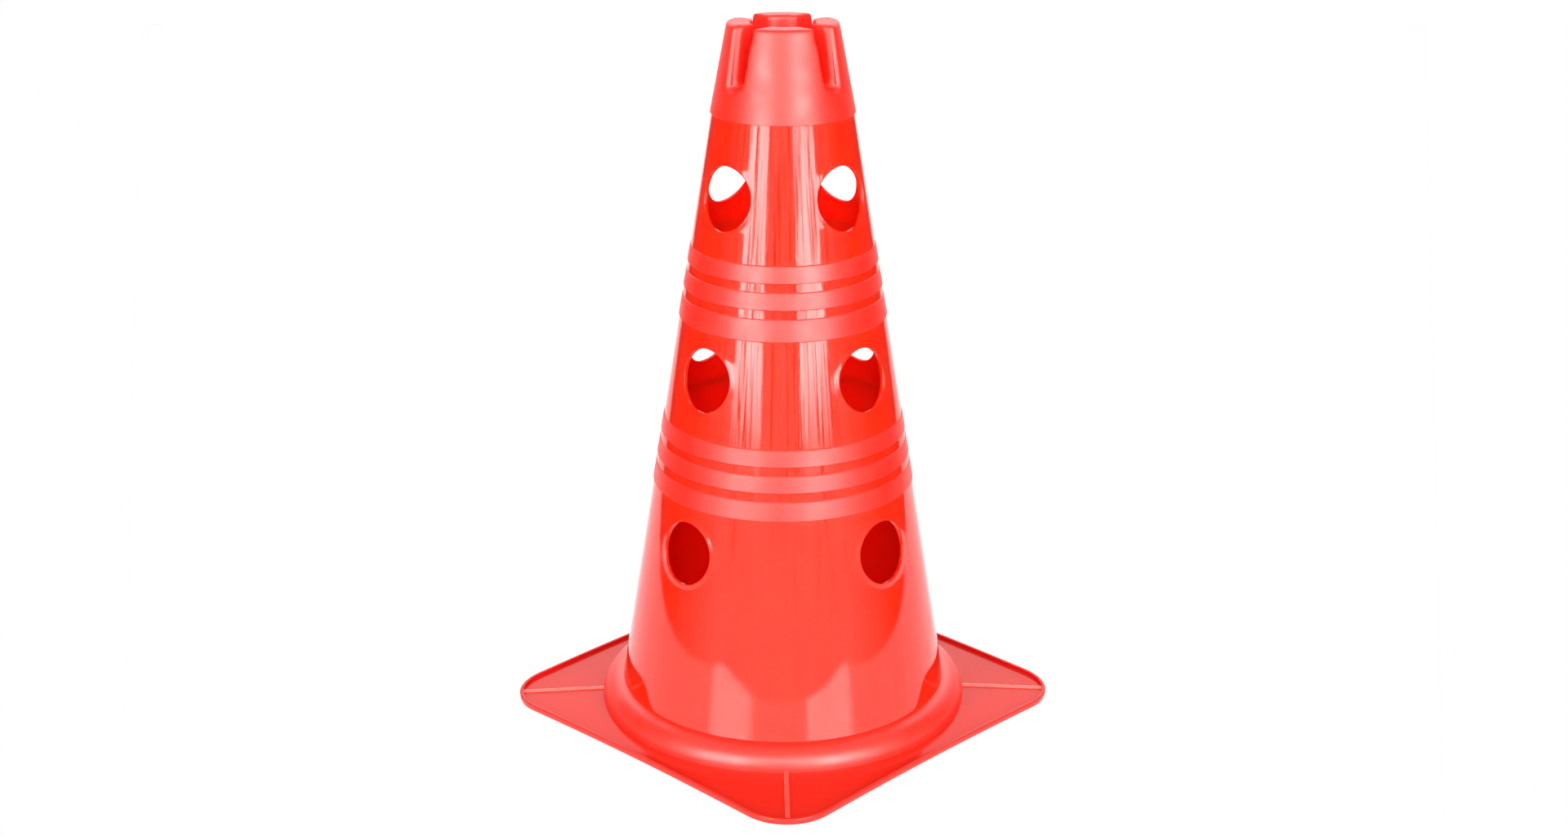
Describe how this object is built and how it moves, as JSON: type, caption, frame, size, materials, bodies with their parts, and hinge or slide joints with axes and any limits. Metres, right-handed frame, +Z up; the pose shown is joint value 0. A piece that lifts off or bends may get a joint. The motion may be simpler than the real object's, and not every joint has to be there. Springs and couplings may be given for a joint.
{
  "type": "sports marker cone",
  "caption": "Hollow plastic training cone on a square foot, with round holes for poles laid level, raised bands, and crossed slots in the top for hoops.",
  "frame": {"origin": "on the floor, under the middle of the square foot", "axes": "+Z up the cone's axis; X and Y along the foot's sides, through the pole holes and slots"},
  "size_m": [0.227, 0.227, 0.38],
  "materials": {
    "gloss_red": "moulded gloss",
    "satin_red": "moulded satin"
  },
  "bodies": {
    "root": {"base_plate": "gloss_red", "base_rim": "gloss_red", "corner_rib_back_right": "gloss_red", "corner_rib_back_left": "gloss_red", "corner_rib_front_left": "gloss_red", "corner_rib_front_right": "gloss_red", "lower_wall_right": "gloss_red", "lower_wall_back": "gloss_red", "lower_wall_left": "gloss_red", "lower_wall_front": "gloss_red", "middle_wall_right": "gloss_red", "middle_wall_back": "gloss_red", "middle_wall_left": "gloss_red", "middle_wall_front": "gloss_red", "upper_wall_right": "gloss_red", "upper_wall_back": "gloss_red", "upper_wall_left": "gloss_red", "upper_wall_front": "gloss_red", "foot_bead": "satin_red", "lower_bands": "satin_red", "upper_bands": "satin_red", "top_collar": "satin_red", "prong_back_right": "satin_red", "prong_back_left": "satin_red", "prong_front_left": "satin_red", "prong_front_right": "satin_red"}
  },
  "joints": []
}
